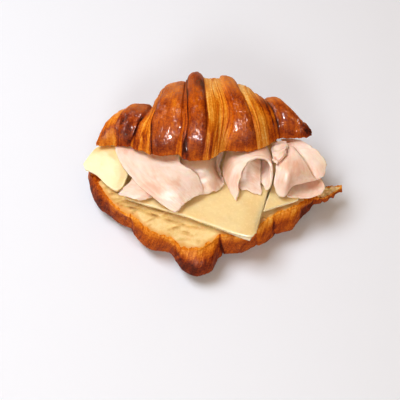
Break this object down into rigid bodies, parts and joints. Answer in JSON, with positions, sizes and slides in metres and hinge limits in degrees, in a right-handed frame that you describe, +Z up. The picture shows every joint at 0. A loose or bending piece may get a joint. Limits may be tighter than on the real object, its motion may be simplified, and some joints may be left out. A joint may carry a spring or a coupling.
{
  "type": "croissant sandwich",
  "caption": "Croissant cut in two and filled with flat slices of pale cheese and folded, ruffled slices of turkey breast, resting on its flat baked base.",
  "frame": {"origin": "on the flat baked base, near the middle of the lower half", "axes": "+X along the croissant from its left tip to its right tip, +Y to the rear, away from the open front, +Z up"},
  "size_m": [0.1597, 0.118, 0.0745],
  "materials": {
    "crust": "egg-washed golden brown crust, glossy on the ridges",
    "cheese": "smooth pale yellow, slightly oily",
    "turkey": "pale pink, moist and fine-grained"
  },
  "bodies": {
    "root": {"croissant_lower": "crust", "croissant_upper": "crust", "cheese_left": "cheese", "cheese_upper": "cheese", "cheese_lower": "cheese", "cheese_right": "cheese", "turkey_left": "turkey", "turkey_left_under": "turkey", "turkey_centre": "turkey", "turkey_arch": "turkey", "turkey_inner": "turkey", "turkey_ruffle": "turkey", "turkey_right": "turkey", "turkey_right_back": "turkey", "turkey_right_under": "turkey"}
  },
  "joints": []
}
